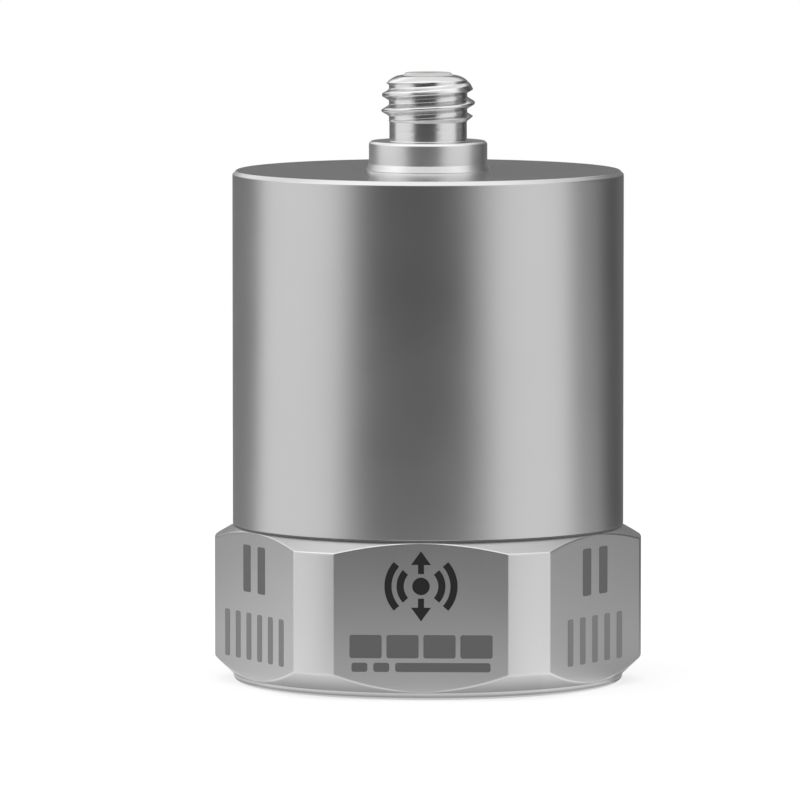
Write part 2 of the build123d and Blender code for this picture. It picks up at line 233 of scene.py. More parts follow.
stage = {
    "floorRadius": 150.0,
    "floorDrop": 0.02,  # below the mounting face, so that the two surfaces don't coincide
    "floorColumns": 96,
    "floorLit": 0.4,  # share of the floor's white that its own shading gives, with its shadow
    "floorGlow": 0.67,
    "ambient": 0.8,  # what matt surfaces get from the room; everything else sees white
    # The mats' radiance is cut near the object's foot: painted shade, the floor's contact shadow as the
    # steel mirrors it
    "matInner": 9.93,
    "matLift": 0.05,
    "matFade": 62.0,  # its radiance changes from the object to this far out
    "matFootShade": 0.34,  # share of its radiance left at its inner edge: painted shade of the object on the mat
    "matRim": 11.0,  # and all of it is left this far out
    "matShadeDip": 13.0,  # then a share of its own, down to here: a ring of painted shade round the foot
    "matPlain": 27.0,  # and all of it again from here on
    "screenDistance": 320.0,
    "cardColumns": 48,
}
mats = {
    # name: from, to (angles from the camera's side), outer radius, radiance at the object and far,
    # bend of the fall between them, share left in the dip of painted shade
    "front_mat": (-31.0, 25.0, 320.0, 1.1, 0.07, 1.25, 0.6),
    "front_right_mat": (25.0, 36.0, 320.0, 1.1, 0.07, 1.25, 1.0),
    "right_gap": (36.0, 58.0, 170.0, 1.17, 0.87, 1.0, 1.0),
    "right_side_gap": (58.0, 74.0, 170.0, 1.17, 0.87, 1.0, 0.6),
    "right_edge": (74.0, 89.5, 62.0, 0.62, 1.0, 1.0, 0.6),
    "right_mat": (89.5, 120.0, 320.0, 0.7, 0.42, 1.0, 0.6),
    "right_rear": (120.0, 152.0, 320.0, 0.42, 0.05, 1.0, 1.0),
    "back_mat": (152.0, 200.0, 320.0, 0.6, 0.17, 1.0, 1.0),
    "left_mat": (200.0, 246.0, 320.0, 0.6, 0.2, 1.0, 0.6),
    "left_edge": (246.0, 263.0, 62.0, 0.65, 1.0, 1.0, 0.6),
    "left_side_gap": (263.0, 297.0, 170.0, 1.05, 0.86, 1.0, 0.6),
    "left_gap": (297.0, 310.0, 170.0, 1.2, 0.86, 1.0, 1.0),
    "front_left_mat": (310.0, 329.0, 320.0, 1.1, 0.07, 1.25, 1.0),
}
screens = {  # name: from, to, height, radiance
    "front_screen": (-42.0, 25.5, 200.0, 0.08),
    "right_screen": (89.5, 120.0, 260.0, 0.17),
    "rear_screen": (120.0, 142.0, 260.0, 0.05),
    "back_screen": (142.0, 200.0, 200.0, 0.17),
    "left_screen": (200.0, 246.0, 110.0, 0.17),
}
lamps = {  # name: angle, distance, height, width, depth, radiance
    "left_lamp": (-80.0, 230.0, 270.0, 260.0, 260.0, 0.65),
    "right_lamp": (75.0, 230.0, 270.0, 260.0, 260.0, 0.35),
    "top_lamp": (0.0, 90.0, 330.0, 320.0, 320.0, 0.5),
    "rear_lamp": (-155.0, 300.0, 210.0, 170.0, 170.0, 0.35),
}


def whiteShown(tree):
    # 1 for rays from the camera and for those that metal or glass sends on, 0 for matt surfaces
    path = addNode(tree, "ShaderNodeLightPath")
    mirrored = addNode(tree, "ShaderNodeMath", {0: path.outputs["Is Camera Ray"],
                                                1: path.outputs["Is Glossy Ray"]}, operation="MAXIMUM")
    either = addNode(tree, "ShaderNodeMath", {0: mirrored.outputs[0],
                                              1: path.outputs["Is Transmission Ray"]}, operation="MAXIMUM")
    return either.outputs[0]


def makeWorld():
    world = bpy.data.worlds.new("white_room")
    world.use_nodes = True
    tree = world.node_tree
    tree.nodes.clear()
    strength = addNode(tree, "ShaderNodeMapRange", {"Value": whiteShown(tree), "To Min": stage["ambient"],
                                                    "To Max": 1.0})
    white = addNode(tree, "ShaderNodeBackground", {"Color": grey(1.0), "Strength": strength.outputs[0]})
    addNode(tree, "ShaderNodeOutputWorld", {"Surface": white.outputs[0]})
    bpy.context.scene.world = world
    bpy.context.scene.view_settings.view_transform = "Standard"


def makeFloor():
    # a disc that matt surfaces see as plain paper, and all else as white with the object's faint shadow
    material, tree = newMaterial("white_paper")
    paper = addNode(tree, "ShaderNodeBsdfDiffuse", {"Color": grey(stage["floorLit"])})
    glow = addNode(tree, "ShaderNodeEmission", {"Strength": stage["floorGlow"]})
    shown = addNode(tree, "ShaderNodeAddShader", {0: paper.outputs[0], 1: glow.outputs[0]})
    plain = addNode(tree, "ShaderNodeBsdfDiffuse", {"Color": grey(stage["ambient"])})
    mixed = addNode(tree, "ShaderNodeMixShader", {0: whiteShown(tree), 1: plain.outputs[0],
                                                  2: shown.outputs[0]})
    addNode(tree, "ShaderNodeOutputMaterial", {"Surface": mixed.outputs[0]})
    floorZ = -stage["floorDrop"]
    edge = np.tile([stage["floorRadius"], floorZ], (1, stage["floorColumns"], 1))
    ring = aroundAxis(edge, evenAngles(stage["floorColumns"]))
    floor = makePiece("floor", ring, material, lastPole=(0, 0, floorZ))


def makeLamp(name, angle, distance, height, width, depth, radiance):
    # a soft square lamp that faces the object, adding its radiance to the white room behind it;
    # its power is its radiance x pi x its area
    place = outwards(angle) * distance + Vector((0, 0, height))
    data = bpy.data.lights.new(name, "AREA")
    data.shape = "RECTANGLE"
    data.size, data.size_y = width * mm, depth * mm
    data.energy = radiance * math.pi * width * depth * mm ** 2
    lamp = bpy.data.objects.new(name, data)
    lamp.location = place * mm
    lamp.rotation_mode = "QUATERNION"
    lamp.rotation_quaternion = (Vector((0, 0, camera["aimHeight"])) - place).to_track_quat("-Z", "Y")
    lamp.visible_camera = False
    bpy.context.scene.collection.objects.link(lamp)


def makeCard(name, start, end, outline, strength):
    # a strip carried round the object from one angle to another; only metal and glass see it.
    # strength is the radiance, or a function that adds the nodes for it.
    material, tree = newMaterial(name)
    radiance = strength(tree) if callable(strength) else strength
    glow = addNode(tree, "ShaderNodeEmission", {"Strength": radiance})
    addNode(tree, "ShaderNodeOutputMaterial", {"Surface": glow.outputs[0]})
    angles = np.linspace(start, end, stage["cardColumns"]) + camera["azimuth"] - 90
    points = aroundAxis(np.repeat(np.array(outline)[:, None], len(angles), axis=1), angles)
    index = np.arange(points.size // 3).reshape(points.shape[:2])
    faces = np.stack([index[:-1, :-1], index[:-1, 1:], index[1:, 1:], index[1:, :-1]], axis=-1)
    mesh = bpy.data.meshes.new(name)
    mesh.from_pydata(points.reshape(-1, 3) * mm, [], faces.reshape(-1, 4).tolist())
    mesh.materials.append(material)
    card = bpy.data.objects.new(name, mesh)
    card.visible_camera = False
    card.visible_diffuse = False
    card.visible_shadow = False
    bpy.context.scene.collection.objects.link(card)


def makeMat(name, start, end, outer, near, far, bend, shadeDip):
    # Its radiance is far + (near - far) x nearness ** bend, where nearness falls from 1 at the object
    # to 0 where the change ends. That is multiplied by the share left at each radius, which is painted
    # shade of the object on the mat: the foot's at the inner edge, all of it at the rim, the dip's, and
    # all of it again from there out.
    inner, lift = stage["matInner"], stage["matLift"]
    shares = [(inner, stage["matFootShade"]), (stage["matRim"], 1.0), (stage["matShadeDip"], shadeDip),
              (stage["matPlain"], 1.0)]

    def strength(tree):
        place = addNode(tree, "ShaderNodeTexCoord").outputs["Object"]
        out = addNode(tree, "ShaderNodeVectorMath", {0: place}, operation="LENGTH").outputs["Value"]
        nearness = addNode(tree, "ShaderNodeMapRange", {"Value": out, "From Min": stage["matFade"] * mm,
                                                        "From Max": inner * mm})
        bent = addNode(tree, "ShaderNodeMath", {0: nearness.outputs[0], 1: bend}, operation="POWER")
        fade = addNode(tree, "ShaderNodeMath", {0: bent.outputs[0], 1: near - far, 2: far},
                       operation="MULTIPLY_ADD")
        along = addNode(tree, "ShaderNodeMath", {0: out, 1: 1 / (stage["matPlain"] * mm)},
                        operation="MULTIPLY")
        shade = addNode(tree, "ShaderNodeValToRGB", {0: along.outputs[0]})
        stops = shade.color_ramp.elements
        for index, (radius, share) in enumerate(shares):
            stop = stops[index] if index < len(stops) else stops.new(1.0)
            stop.position = radius / stage["matPlain"]
            stop.color = grey(share)
        shaded = addNode(tree, "ShaderNodeMath", {0: fade.outputs[0], 1: shade.outputs[0]},
                         operation="MULTIPLY")
        return shaded.outputs[0]

    makeCard(name, start, end, [(inner, lift), (outer, lift)], strength)


def makeScreen(name, start, end, height, radiance):
    distance = stage["screenDistance"]
    makeCard(name, start, end, [(distance, stage["matLift"]), (distance, height)], radiance)


makeWorld()
makeFloor()
for name, sizes in lamps.items():
    makeLamp(name, *sizes)
for name, sizes in mats.items():
    makeMat(name, *sizes)
for name, sizes in screens.items():
    makeScreen(name, *sizes)
print("stage:  floor,", len(lamps), "lamps,", len(mats), "mats and", len(screens), "screens")


# Finishes: two ways to make one. Each piece's own finish stands beside the piece.

turning = {
    "uprightTo": 0.7,  # size of the normal's z up to which a surface counts as upright
    "levelFrom": 0.98,  # and from which it counts as level
    "blotch": 4.0,  # width of the patches that are a little smoother or rougher
    "noiseRange": (0.6, 1.4),  # of patches and lines added up
    "drift": 0.08,  # share by which they raise and lower the roughness
    "tipBlend": 0.05,  # half the height over which the roughness changes at a tip
}
graining = {
    "drift": 0.15,  # share by which the grains raise and lower the roughness
    "depth": 0.05,  # of a grain, as a share of its size
    "strength": 0.3,
}


def turnedSteel(name, colour, roughness, faceRoughness, lineSpacing, lineDepth, tip=None):
    # Steel turned on a lathe: fine lines run round the axis and blur what it mirrors.
    # Lines follow height on upright surfaces and radius on level ones, and level ones are smoother.
    # A tip is a height and the share of the roughness that is left above it.
    material, tree = newMaterial(name)
    place = addNode(tree, "ShaderNodeTexCoord").outputs["Object"]
    height = addNode(tree, "ShaderNodeSeparateXYZ", {0: place}).outputs["Z"]
    level = addNode(tree, "ShaderNodeVectorMath", {0: place, 1: (1, 1, 0)}, operation="MULTIPLY")
    radius = addNode(tree, "ShaderNodeVectorMath", {0: level.outputs[0]}, operation="LENGTH")
    normal = addNode(tree, "ShaderNodeNewGeometry").outputs["Normal"]
    upward = addNode(tree, "ShaderNodeSeparateXYZ", {0: normal}).outputs["Z"]
    facing = addNode(tree, "ShaderNodeMath", {0: upward}, operation="ABSOLUTE").outputs[0]
    across = addNode(tree, "ShaderNodeMath", {0: radius.outputs["Value"], 1: facing, 2: height},
                     operation="MULTIPLY_ADD")
    count = addNode(tree, "ShaderNodeMath", {0: across.outputs[0], 1: 1 / (lineSpacing * mm)},
                    operation="MULTIPLY")
    lines = addNode(tree, "ShaderNodeTexNoise", {"W": count.outputs[0], "Scale": 1.0, "Detail": 3.0},
                    noise_dimensions="1D")
    blotches = addNode(tree, "ShaderNodeTexNoise", {"Vector": place, "Scale": 1 / (turning["blotch"] * mm),
                                                    "Detail": 4.0})
    roughHere = addNode(tree, "ShaderNodeMapRange", {"Value": facing, "From Min": turning["uprightTo"],
                                                     "From Max": turning["levelFrom"],
                                                     "To Min": roughness, "To Max": faceRoughness})
    spread = addNode(tree, "ShaderNodeMath", {0: blotches.outputs[0], 1: lines.outputs[0]}, operation="ADD")
    lowest, highest = turning["noiseRange"]
    change = addNode(tree, "ShaderNodeMapRange", {"Value": spread.outputs[0], "From Min": lowest,
                                                  "From Max": highest, "To Min": 1 - turning["drift"],
                                                  "To Max": 1 + turning["drift"]})
    rough = addNode(tree, "ShaderNodeMath", {0: roughHere.outputs[0], 1: change.outputs[0]},
                    operation="MULTIPLY")
    if tip:
        tipHeight, shareLeft = tip
        share = addNode(tree, "ShaderNodeMapRange", {"Value": height,
                                                     "From Min": (tipHeight - turning["tipBlend"]) * mm,
                                                     "From Max": (tipHeight + turning["tipBlend"]) * mm,
                                                     "To Min": 1.0, "To Max": shareLeft})
        rough = addNode(tree, "ShaderNodeMath", {0: rough.outputs[0], 1: share.outputs[0]},
                        operation="MULTIPLY")
    bump = addNode(tree, "ShaderNodeBump", {"Height": lines.outputs[0], "Strength": 1.0,
                                            "Distance": lineDepth * mm})
    steel = addNode(tree, "ShaderNodeBsdfPrincipled", {"Base Color": linear(colour), "Metallic": 1.0,
                                                       "Roughness": rough.outputs[0],
                                                       "Normal": bump.outputs[0]})
    addNode(tree, "ShaderNodeOutputMaterial", {"Surface": steel.outputs[0]})
    return material


def mattFinish(name, colour, second, roughness, grain, metallic=0.0):
    # a matt or satin surface whose colour drifts between two tones over grains of a real size
    material, tree = newMaterial(name)
    place = addNode(tree, "ShaderNodeTexCoord").outputs["Object"]
    grains = addNode(tree, "ShaderNodeTexNoise", {"Vector": place, "Scale": 1 / (grain * mm), "Detail": 5.0})
    tone = addNode(tree, "ShaderNodeMix", {"Factor": grains.outputs[0]}, data_type="RGBA")
    tone.inputs["A"].default_value = linear(colour)
    tone.inputs["B"].default_value = linear(second)
    rough = addNode(tree, "ShaderNodeMapRange", {"Value": grains.outputs[0],
                                                 "To Min": roughness * (1 - graining["drift"]),
                                                 "To Max": roughness * (1 + graining["drift"])})
    bump = addNode(tree, "ShaderNodeBump", {"Height": grains.outputs[0], "Strength": graining["strength"],
                                            "Distance": grain * mm * graining["depth"]})
    finish = addNode(tree, "ShaderNodeBsdfPrincipled", {"Base Color": tone.outputs["Result"],
                                                        "Metallic": metallic, "Roughness": rough.outputs[0],
                                                        "Normal": bump.outputs[0]})
    addNode(tree, "ShaderNodeOutputMaterial", {"Surface": finish.outputs[0]})
    return material


# Threads: one formula for the tapped hole and the connector

threadAngle = 60.0  # between the two flanks of a thread


def threadHeight(angles, heights, pitch, depth, crestZ, crestHalf, ease):
    # How far a thread stands at each height and angle. Its crest climbs one pitch a turn. Each flank
    # is the depth, less the distance past the crest's edge over the tangent of half the thread angle,
    # held between 0 and the depth with both limits eased.
    turns = (heights - crestZ) / pitch - angles / 360
    fromCrest = np.abs((turns + 0.5) % 1 - 0.5) * pitch
    flank = depth + (crestHalf - fromCrest) / math.tan(math.radians(threadAngle / 2))
    return larger(smaller(flank, depth, ease), 0, ease)


# Base: a hexagon bar, turned at its corners and ends, with a tapped hole from below

base = {  # radii, unless the name or a comment says otherwise
    "flat": 10.0,
    "corner": 10.915,
    "cornerEase": 0.016,  # between the flats and the turned corners
    "foot": 9.975,
    "footHeight": 0.365,
    "footEdge": 0.16,  # width and height of the slope at the foot's lower edge
    "footTaper": 0.02,  # the foot is this much smaller above that slope than under the chamfer
    "shoulder": 9.95,
    "seam": 9.8,  # bottom of the groove under the housing
    "seamHeight": 0.045,
    "lowerAngle": 43.5,  # of the chamfers, from level
    "upperAngle": 30.0,
    "spigot": 9.18,
    "spigotHeight": 1.5,
    "spigotChamfer": 0.2,
    "post": 3.0,
    "postFace": 1.6,
    "postEase": 0.02,
    "postCap": 0.5,  # share of the post's width at the last ring on its top
    "hole": 2.1,
    "holeDepth": 5.5,
    "drillAngle": 118.0,
    "countersink": 2.65,
    "sinkEase": 0.05,  # between the countersink and the thread
    "sinkRow": 0.04,  # height of the first ring of the outside, in the countersink
    "threadDepth": 0.4,
    "pitch": 0.8,
    "crestHalf": 0.05,
    "threadEase": 0.08,
    "threadLow": 0.05,  # where its rows end below
    "threadEnd": 0.2,  # it ends this far below the full depth of the hole
    "threadFade": 0.6,  # and fades out over this height
    "threadRows": 60,
    "sinkEdge": 0.03,  # radii of its edges: at the countersink,
    "footRound": 0.3,  # on both sides of the foot's slope,
    "turnedEdge": 0.04,  # at the top of the foot and at the shoulder,
    "lowerEdge": 0.18,  # between the flats and the chamfers,
    "upperEdge": 0.12,
    "grooveEdge": 0.02,
    "innerEdge": 0.05,  # and on the spigot and the post
    "flatColumns": 12,  # on half a flat, up to the fine ones
    "fineColumns": 16,  # where a flat meets its turned corner
    "cornerColumns": 5,  # on the rest of half a corner
    "fineBefore": 0.9,  # how far the fine ones reach before and after the edge, in degrees
    "fineAfter": 0.7,
}
# Stainless hexagon bar, milled and turned: satin metal in which each flat has a soft tone of its own.
# Its lines are the tool's feed, about two pixels of the picture apart, as fine as they show.
satinBase = turnedSteel("satin_base_steel", "#CFCFCF", 0.34, 0.30, 0.09, 0.0006)


def hexagonAngles(edge):
    # angles round a hexagon and from the middle of the nearest flat, close together at each edge
    fineFrom, fineTo = edge - base["fineBefore"], edge + base["fineAfter"]
    half = np.concatenate([
        np.linspace(0, fineFrom, base["flatColumns"], endpoint=False),
        np.linspace(fineFrom, fineTo, base["fineColumns"], endpoint=False),
        np.linspace(fineTo, 30, base["cornerColumns"], endpoint=False),
    ])
    sector = np.concatenate([-half[:0:-1], half, [30]])
    return (np.arange(6)[:, None] * 60 - 90 + sector).ravel(), np.tile(sector, 6)


def makeBase():
    # One profile carried round the axis. Its hexagon is the distance of the flat over the cosine of
    # the angle from it, cut off at the corners' radius, and the three-sided post is made like it.
    # The chamfers are cones, so their height follows the hexagon's radius.
    edgeAngle = math.degrees(math.acos(base["flat"] / base["corner"]))
    angles, fromFlat = hexagonAngles(edgeAngle)
    columns = len(angles)
    outer = smaller(base["corner"], base["flat"] / np.cos(np.radians(fromFlat)), base["cornerEase"])
    shoulderZ = seatZ - base["seamHeight"]
    lowerZ = base["footHeight"] + (outer - base["foot"]) * math.tan(math.radians(base["lowerAngle"]))
    upperZ = shoulderZ - (outer - base["shoulder"]) * math.tan(math.radians(base["upperAngle"]))
    fromFace = (angles + 90 + 60) % 120 - 60
    post = smaller(base["post"], base["postFace"] / np.cos(np.radians(fromFace)), base["postEase"])
    spigotTop = seatZ + base["spigotHeight"]
    drillTip = base["holeDepth"] + base["hole"] / math.tan(math.radians(base["drillAngle"] / 2))

    heights = np.linspace(base["holeDepth"], base["threadLow"], base["threadRows"])[:, None]
    fade = np.clip((base["holeDepth"] - base["threadEnd"] - heights) / base["threadFade"], 0, 1)
    cut = threadHeight(angles, heights, base["pitch"], base["threadDepth"], 0.0, base["crestHalf"],
                       base["threadEase"]) * fade
    threaded = larger(base["hole"] + cut, base["countersink"] - heights, base["sinkEase"])
    holeRows = np.stack(np.broadcast_arrays(threaded, heights), axis=-1)

    outerRows = roundedProfile([
        (base["countersink"] - base["sinkRow"], base["sinkRow"], 0),
        (base["countersink"], 0, base["sinkEdge"]),
        (base["foot"] - base["footEdge"], 0, base["footRound"]),
        (base["foot"] - base["footTaper"], base["footEdge"], base["footRound"]),
        (base["foot"], base["footHeight"], base["turnedEdge"]),
        (outer, lowerZ, base["lowerEdge"]),
        (outer, upperZ, base["upperEdge"]),
        (base["shoulder"], shoulderZ, base["turnedEdge"]),
        (base["seam"], shoulderZ, base["grooveEdge"]),
        (base["seam"], seatZ, base["grooveEdge"]),
        (base["spigot"], seatZ, base["innerEdge"]),
        (base["spigot"], spigotTop - base["spigotChamfer"], base["innerEdge"]),
        (base["spigot"] - base["spigotChamfer"], spigotTop, base["innerEdge"]),
        (post, spigotTop, base["innerEdge"]),
        (post, postTop, base["innerEdge"]),
        (post * base["postCap"], postTop, 0),
    ], columns, closed=False)
    rings = aroundAxis(np.concatenate([holeRows, outerRows]), angles)
    piece = makePiece("base_steel_body", rings, satinBase, firstPole=(0, 0, drillTip),
                      lastPole=(0, 0, postTop))
    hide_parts("base")
    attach(piece, "root")


makeBase()


# Housing: a steel cup turned upside down, open where the connector's stem goes through

housing = {
    "outer": 10.0,
    "groove": 0.2,  # depth
    "grooveHeight": 0.06,
    "chamfer": 0.2,
    "bore": 9.2,
    "top": 1.5,  # thickness
    "bevel": 0.6,  # inside, between the bore and the top
    "stemHole": 2.52,
    "grooveEdge": 0.02,  # radii of its edges
    "lipEdge": 0.03,
    "chamferEdge": 0.08,
    "holeEdge": 0.02,
    "bevelEdge": 0.1,
    "mouthEdge": 0.03,
    "columns": 288,
}
# Stainless tube, fine-turned: satin metal that mirrors the room as soft upright bands, with a smoother
# top. Its lines are the tool's feed, about a pixel of the picture apart, as fine as they show.
satinHousing = turnedSteel("satin_housing_steel", "#CBCBCB", 0.35, 0.22, 0.06, 0.0004)


def makeHousing():
    # one closed profile of the wall, carried round the axis
    ceiling, grooveTop = bodyTop - housing["top"], seatZ + housing["grooveHeight"]
    grooved = housing["outer"] - housing["groove"]
    rows = roundedProfile([
        (grooved, seatZ, housing["grooveEdge"]),
        (grooved, grooveTop, housing["grooveEdge"]),
        (housing["outer"], grooveTop, housing["lipEdge"]),
        (housing["outer"], bodyTop - housing["chamfer"], housing["chamferEdge"]),
        (housing["outer"] - housing["chamfer"], bodyTop, housing["chamferEdge"]),
        (housing["stemHole"], bodyTop, housing["holeEdge"]),
        (housing["stemHole"], ceiling, housing["holeEdge"]),
        (housing["bore"] - housing["bevel"], ceiling, housing["bevelEdge"]),
        (housing["bore"], ceiling - housing["bevel"], housing["bevelEdge"]),
        (housing["bore"], seatZ, housing["mouthEdge"]),
    ], housing["columns"], closed=True)
    rings = aroundAxis(rows, evenAngles(housing["columns"]))
    piece = makePiece("housing_cup", rings, satinHousing, closedRows=True)
    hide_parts("housing")
    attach(piece, "root")


makeHousing()


# Weld: the dark bead at the bottom of the groove between base and housing

weld = {"outer": 9.93, "inner": 9.7, "squareness": 0.4, "rowCount": 32, "columns": 288}
# Laser-welded steel, oxidised as it cooled: a dull dark line in the seam
heatTinted = mattFinish("heat_tinted_weld", "#6C6C6C", "#787878", 0.6, 0.15)


def makeWeld():
    # a ring whose cross-section is a squarish ellipse that fills the groove's height: the cosine and
    # the sine of an ellipse, each raised to a power below 1 with its sign kept
    low, high = seatZ - base["seamHeight"], seatZ + housing["grooveHeight"]
    turn = np.linspace(0, 2 * math.pi, weld["rowCount"], endpoint=False)
    circle = np.stack([np.cos(turn), np.sin(turn)], axis=-1)
    square = np.sign(circle) * np.abs(circle) ** weld["squareness"]
    rows = (np.array([weld["outer"] + weld["inner"], low + high])
            + square * np.array([weld["outer"] - weld["inner"], high - low])) / 2
    rings = aroundAxis(np.repeat(rows[:, None], weld["columns"], axis=1), evenAngles(weld["columns"]))
    piece = makePiece("weld_bead", rings, heatTinted, closedRows=True)
    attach(piece, "root")


makeWeld()


# Connector: collar with its weld, neck, and a right-handed thread that runs out on a domed end

connector = {  # radii, unless the name or a comment says otherwise
    "bore": 1.32,
    "stem": 2.5,
    "stemRow": 0.05,  # height of the first ring, inside the stem
    "weld": 0.13,  # width of the ring round the foot of the collar
    "weldWall": 0.02,  # height of its upright foot
    "weldHeight": 0.35,
    "collar": 3.025,
    "collarHeight": 1.5,
    "collarChamfer": 0.12,
    "neck": 1.98,
    "neckRow": 0.12,  # above the collar, from where the rows of the thread take over
    "root": 2.0,
    "crest": 2.4,
    "pitch": 0.8,
    "crestZ": 29.57,  # where the crest passes the +X side
    "crestHalf": 0.05,  # half the width of the crest
    "threadEase": 0.09,
    "threadStart": 28.62,  # height where it starts to climb out of the neck
    "startSlope": 1.2,
    "neckEase": 0.02,  # roundings between that climb and the neck, the thread and the climb,
    "startEase": 0.04,
    "capEase": 0.03,  # and the thread and the outline over it
    "domeFoot": 2.36,
    "domeRadius": 1.08,
    "domeDrop": 0.07,  # below the top of the CAD shell
    "rim": 0.07,  # width and depth of the slope from the dome's top into the bore
    "rimStep": 0.01,  # from the end of the dome to the start of that slope
    "boreRow": 0.1,  # height of the last ring above the stem's end, inside the bore
    "rowSpacing": 0.022,
    "domeRows": 60,
    "boreEdge": 0.03,  # radii of its edges
    "stemEdge": 0.05,
    "seatEdge": 0.02,
    "weldFootEdge": 0.01,
    "weldWallEdge": 0.03,
    "weldTopEdge": 0.08,
    "collarEdge": 0.12,
    "neckEdge": 0.06,
    "rimEdge": 0.01,
    "columns": 288,
    "tipRoughness": 0.7,  # share of the collar's roughness that the neck, thread and dome have
}
# Steel turned bright and nickel-plated: small sharp lights on the crests and the dome. Its lines are
# a pixel of the picture apart, as fine as they show, and too shallow to dull it.
brightConnector = turnedSteel("bright_connector_steel", "#DBDBDB", 0.37, 0.3, 0.05, 0.0001,
                              tip=(bodyTop + connector["collarHeight"], connector["tipRoughness"]))


def makeConnector():
    # One closed profile carried round the axis. Over the thread its radius is the root's plus the
    # height of the thread, held below a line that climbs from the neck, and below an outline that
    # runs straight up and then along a part of a circle towards the bore.
    angles = evenAngles(connector["columns"])
    collarTop = bodyTop + connector["collarHeight"]
    weldOuter = connector["collar"] + connector["weld"]
    innerRim = connector["bore"] + connector["rim"]
    swingEnd = math.acos(1 - (connector["domeFoot"] - innerRim) / connector["domeRadius"])
    domeTop = connectorTop - connector["domeDrop"]
    domeZ = domeTop - connector["domeRadius"] * math.sin(swingEnd)
    lowRows = roundedProfile([
        (connector["bore"], stemBottom + connector["stemRow"], 0),
        (connector["bore"], stemBottom, connector["boreEdge"]),
        (connector["stem"], stemBottom, connector["stemEdge"]),
        (connector["stem"], bodyTop, connector["seatEdge"]),
        (weldOuter, bodyTop, connector["weldFootEdge"]),
        (weldOuter, bodyTop + connector["weldWall"], connector["weldWallEdge"]),
        (connector["collar"], bodyTop + connector["weldHeight"], connector["weldTopEdge"]),
        (connector["collar"], collarTop - connector["collarChamfer"], connector["collarEdge"]),
        (connector["collar"] - connector["collarChamfer"], collarTop, connector["collarEdge"]),
        (connector["neck"], collarTop, connector["neckEdge"]),
        (connector["neck"], collarTop + connector["neckRow"], 0),
    ], connector["columns"], closed=False)
    threadLow = collarTop + connector["neckRow"] + connector["rowSpacing"]
    straight = np.arange(threadLow, domeZ, connector["rowSpacing"])
    swing = np.linspace(0, swingEnd, connector["domeRows"])
    heights = np.concatenate([straight, domeZ + connector["domeRadius"] * np.sin(swing)])[:, None]
    cap = np.concatenate([np.full(len(straight), connector["crest"]),
                          connector["domeFoot"] - connector["domeRadius"] * (1 - np.cos(swing))])[:, None]
    stands = threadHeight(angles, heights, connector["pitch"], connector["crest"] - connector["root"],
                          connector["crestZ"], connector["crestHalf"], connector["threadEase"])
    climb = connector["neck"] + (heights - connector["threadStart"]) * connector["startSlope"]
    start = larger(climb, connector["neck"], connector["neckEase"])
    started = smaller(connector["root"] + stands, start, connector["startEase"])
    threaded = smaller(started, cap, connector["capEase"])
    threadRows = np.stack(np.broadcast_arrays(threaded, heights), axis=-1)
    topRows = roundedProfile([
        (innerRim - connector["rimStep"], domeTop, 0),
        (connector["bore"], domeTop - connector["rim"], connector["rimEdge"]),
        (connector["bore"], stemBottom + connector["boreRow"], 0),
    ], connector["columns"], closed=False)
    rings = aroundAxis(np.concatenate([lowRows, threadRows, topRows]), angles)
    piece = makePiece("threaded_connector", rings, brightConnector, closedRows=True)
    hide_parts("connector_shell")
    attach(piece, "root")


makeConnector()


# Insulator: a sleeve with a bevelled rim, standing just proud of the metal

insulator = {
    "outer": 1.3,
    "bore": 0.55,
    "rim": 0.16,
    "rimHeight": 0.13,
    "columns": 144,
    "edge": 0.02,  # radii of its edges: at the bottom,
    "rimEdge": 0.04,  # at the rim
    "boreEdge": 0.03,  # and at the bore
}
# Fluoropolymer rod, machined: off-white and a little waxy, with a broad soft light on it
waxyInsulator = mattFinish("waxy_white_insulator", "#CCCCCA", "#C4C4C2", 0.32, 0.2)


def makeInsulator():
    # one closed profile of the sleeve's wall, carried round the axis
    rows = roundedProfile([
        (insulator["outer"], insulatorBottom, insulator["edge"]),
        (insulator["outer"], insulatorTop - insulator["rimHeight"], insulator["rimEdge"]),
        (insulator["outer"] - insulator["rim"], insulatorTop, insulator["rimEdge"]),
        (insulator["bore"], insulatorTop, insulator["boreEdge"]),
        (insulator["bore"], insulatorBottom, insulator["edge"]),
    ], insulator["columns"], closed=True)
    rings = aroundAxis(rows, evenAngles(insulator["columns"]))
    piece = makePiece("insulating_sleeve", rings, waxyInsulator, closedRows=True)
    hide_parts("connector_dielectric")
    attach(piece, "root")


makeInsulator()


# Marks on the three flats that the camera sees: plain shapes, darkened on the steel by a laser

marks = {  # heights are those of the middle of a shape
    "lift": 0.01,  # how far a shape stands proud of the steel
    "sunk": 0.02,  # and how far its back lies below it
    "front": -90.0,  # angle of the flat that carries each group
    "left": -150.0,
    "right": -30.0,
    "symbolHeight": 5.77,
    "dot": 0.44,  # radius
    "waves": (1.05, 1.66),  # radii of the arcs on each side of the dot
    "waveWidth": 0.36,
    "waveSpread": 42.0,  # half the angle that an arc covers
    "arrowRoot": 0.62,  # distances from the middle of the dot
    "arrowNeck": 1.08,
    "arrowTip": 1.77,
    "arrowHalf": 0.5,  # half widths of the head and the shaft
    "shaftHalf": 0.15,
    "blockHeight": 2.72,
    "block": (1.62, 1.18),  # width and height of the four blocks under the symbol
    "blockSpacing": 1.86,
    "barHeight": 1.67,
    "bars": ((-3.1, 0.8), (-2.0, 0.8), (1.1, 4.8)),  # middle and width of the bars under the blocks
    "barThickness": 0.46,
    "upperHeight": 6.08,
    "upper": (0.8, 2.4),  # width and height of the two upright bars on a side flat
    "upperSpacing": 1.6,
    "lowerHeight": 2.62,
    "lower": (0.52, 2.4),  # and of the thinner ones below them
    "lowerSpacing": 1.2,
    "corner": 0.12,
    "points": 48,  # on a whole circle
}
